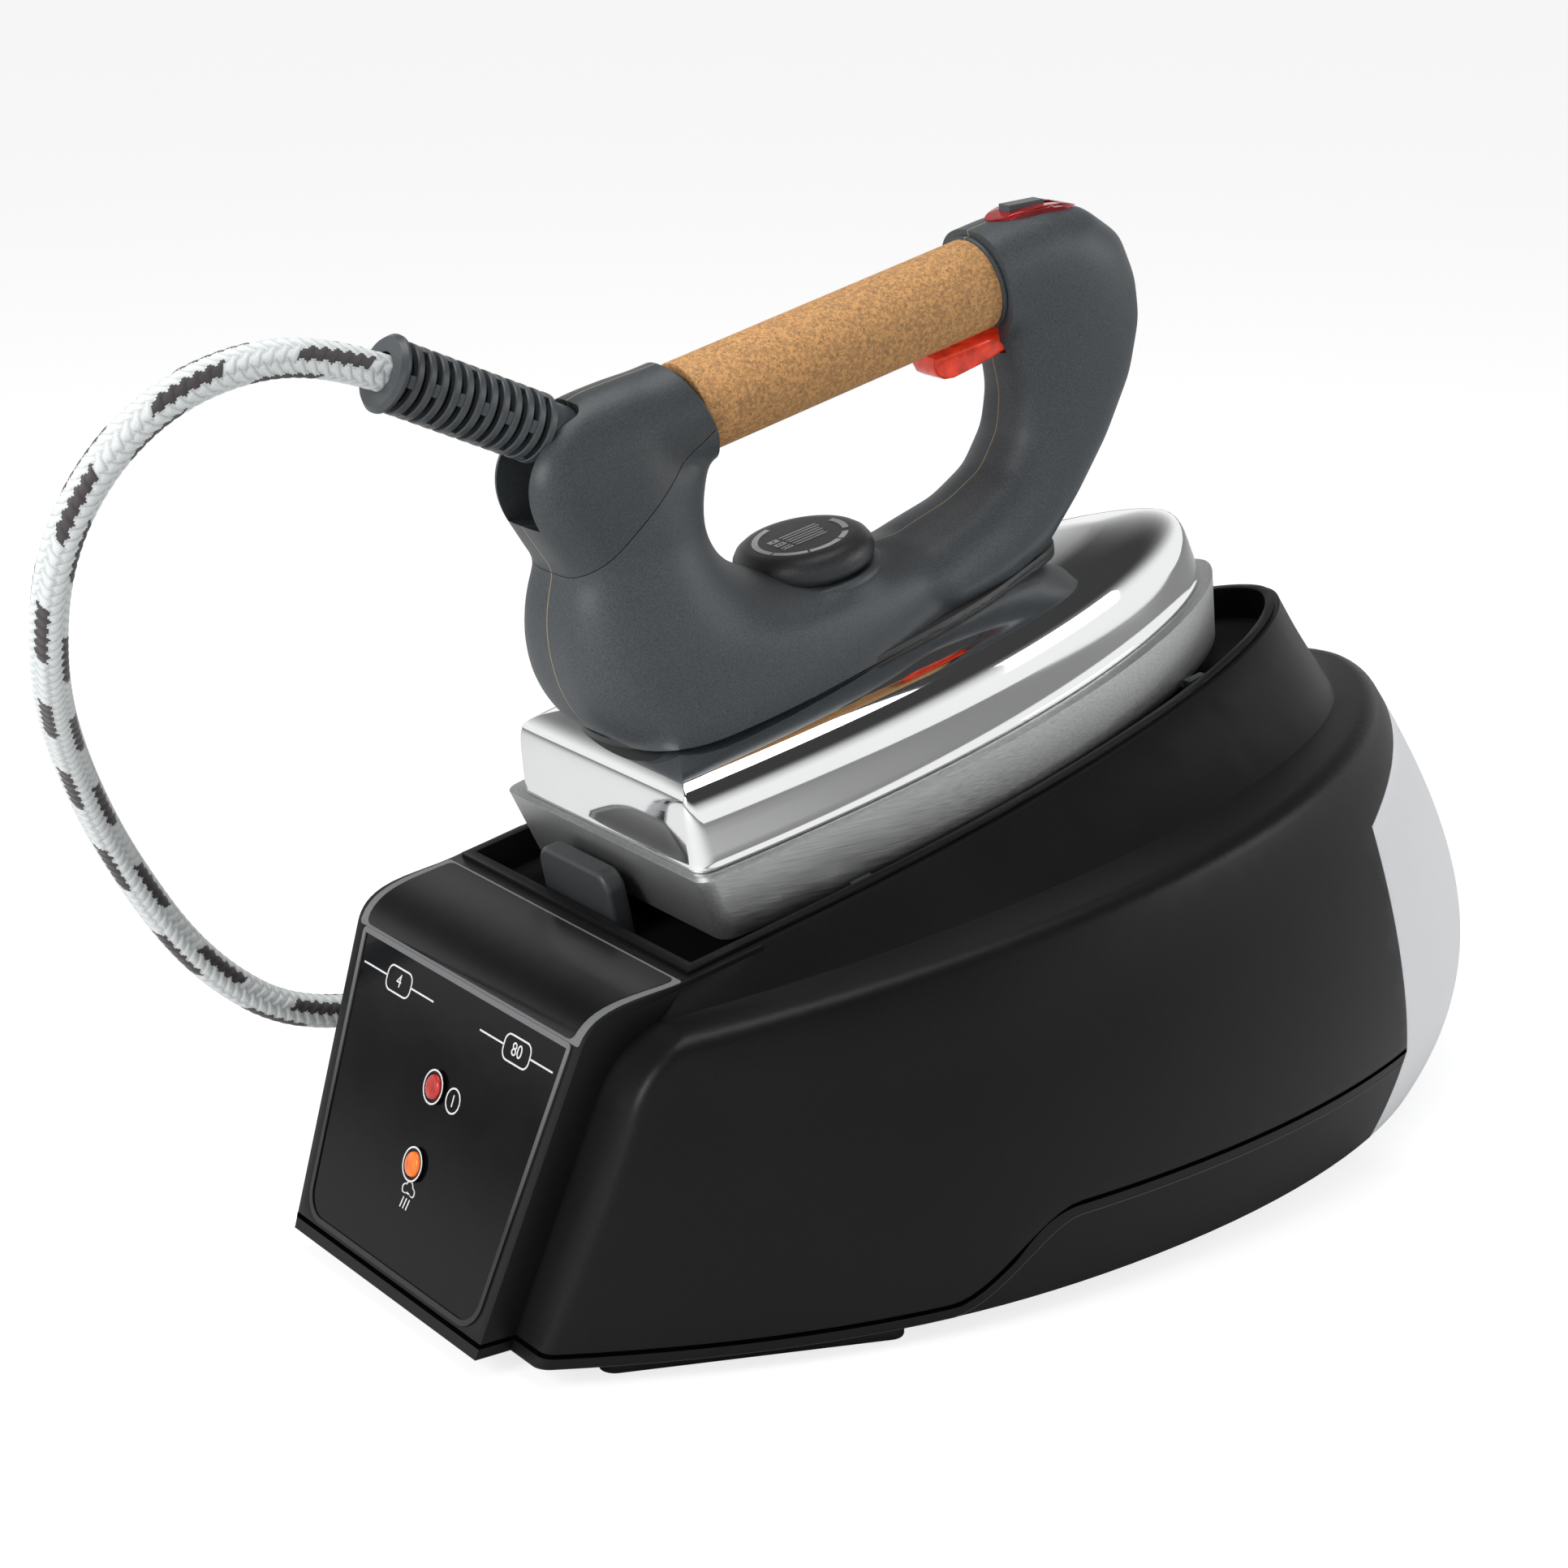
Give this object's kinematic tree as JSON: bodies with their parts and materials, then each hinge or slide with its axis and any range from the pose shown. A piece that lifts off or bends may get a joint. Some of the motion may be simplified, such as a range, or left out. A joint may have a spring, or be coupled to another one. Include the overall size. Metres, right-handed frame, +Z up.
{
  "type": "steam ironing station",
  "caption": "Steam generator ironing station: an iron with a cork grip rests on the sloping cradle of a boiler base with a removable water tank, joined to it by a braided steam hose.",
  "frame": {"origin": "on the floor under the middle of the base", "axes": "+X from the control panel to the water tank, -Y the side seen in the picture, +Z up"},
  "size_m": [0.476, 0.2182, 0.2908],
  "materials": {
    "casing": "fine-textured satin black",
    "gloss_black": "polished black",
    "silver_trim": "satin silver",
    "red_lens": "clear red",
    "amber_lens": "clear amber",
    "tray_black": "satin black",
    "tank_white": "satin light grey-white",
    "dark_fittings": "satin dark grey",
    "rubber_black": "matt rubber",
    "stainless": "drawn steel",
    "brass_fittings": "machined brass",
    "pump_grey": "satin grey",
    "silicone": "clear silicone",
    "circuit_green": "coated board",
    "sole_aluminium": "brushed cast aluminium",
    "chrome": "mirror chrome",
    "handle_slate": "soft-touch slate grey",
    "cork": "pressed cork",
    "trigger_orange": "translucent orange-red",
    "bezel_red": "translucent red",
    "relief_rubber": "slate rubber",
    "hose_braid": "woven braid, pale grey with dark flecks"
  },
  "bodies": {
    "base": {"upper_casing": "casing", "base_tray": "casing", "hose_gland": "dark_fittings", "mains_gland": "dark_fittings", "control_panel": "gloss_black", "panel_trim": "silver_trim", "panel_band": "gloss_black", "power_lamp_lens": "red_lens", "steam_lamp_lens": "amber_lens", "lamp_bezels": "silver_trim", "lamp_board": "circuit_green", "iron_rest_tray": "tray_black", "heel_stop": "casing", "rest_pads": "tray_black", "tank_seal": "rubber_black", "boiler_shell": "stainless", "boiler_heater": "stainless", "boiler_saddles": "dark_fittings", "boiler_sensors": "stainless", "safety_valve": "brass_fittings", "solenoid_valve": "brass_fittings", "solenoid_coil": "stainless", "water_pump": "pump_grey", "pump_mounts": "rubber_black", "water_feed_tube": "silicone", "boiler_feed_tube": "silicone", "steam_pipe": "stainless", "control_board": "circuit_green", "base_feet": "rubber_black", "base_screws": "stainless", "steam_hose": "hose_braid"},
    "tank": {"water_tank": "tank_white", "tank_valve": "dark_fittings", "tank_filler_cap": "dark_fittings"},
    "iron": {"soleplate": "sole_aluminium", "heating_element": "stainless", "steam_chamber_cover": "sole_aluminium", "iron_thermostat": "pump_grey", "chrome_skirt": "chrome", "heat_insulator": "dark_fittings", "iron_screws": "stainless", "handle_right_shell": "handle_slate", "handle_left_shell": "handle_slate", "handle_rear_cap": "handle_slate", "grip_collars": "pump_grey", "cork_grip": "cork", "grip_core": "dark_fittings", "steam_inlet_tube": "silicone", "terminal_block": "dark_fittings", "steam_switch": "dark_fittings", "iron_pins": "stainless", "trigger_spring": "stainless", "lock_bezel": "bezel_red", "steam_hose_upper": "hose_braid"},
    "dial": {"temperature_dial": "handle_slate", "dial_shaft": "stainless"},
    "trigger": {"steam_trigger": "trigger_orange"},
    "lock": {"lock_slider": "pump_grey"},
    "hose_swivel": {"strain_relief": "relief_rubber"}
  },
  "joints": [
    {"name": "iron_lift", "type": "slide", "parent": "base", "child": "iron", "axis": [-0.2113, 0, 0.9774], "range_m": [0, 0.12], "deforming": ["steam_hose"]},
    {"name": "tank_pull", "type": "slide", "parent": "base", "child": "tank", "axis": [1, 0, 0], "range_m": [0, 0.08]},
    {"name": "dial_turn", "type": "hinge", "parent": "iron", "child": "dial", "pos_m": [-0.05469, 0, 0.19278], "axis": [-0.2113, 0, 0.9774], "range_deg": [-135, 135]},
    {"name": "trigger_pull", "type": "hinge", "parent": "iron", "child": "trigger", "pos_m": [0.01854, 0, 0.25158], "axis": [0, 1, 0], "range_deg": [0, 4], "stiffness_Nm_per_rad": 0.5, "springref_deg": -4.58, "deforming": ["trigger_spring"]},
    {"name": "lock_slide", "type": "slide", "parent": "iron", "child": "lock", "axis": [0.9974, 0, 0.0715], "range_m": [0, 0.006]},
    {"name": "hose_swing", "type": "hinge", "parent": "iron", "child": "hose_swivel", "pos_m": [-0.12755, 0, 0.23636], "axis": [0, 1, 0], "range_deg": [-10, 10], "deforming": ["steam_hose_upper"]}
  ]
}
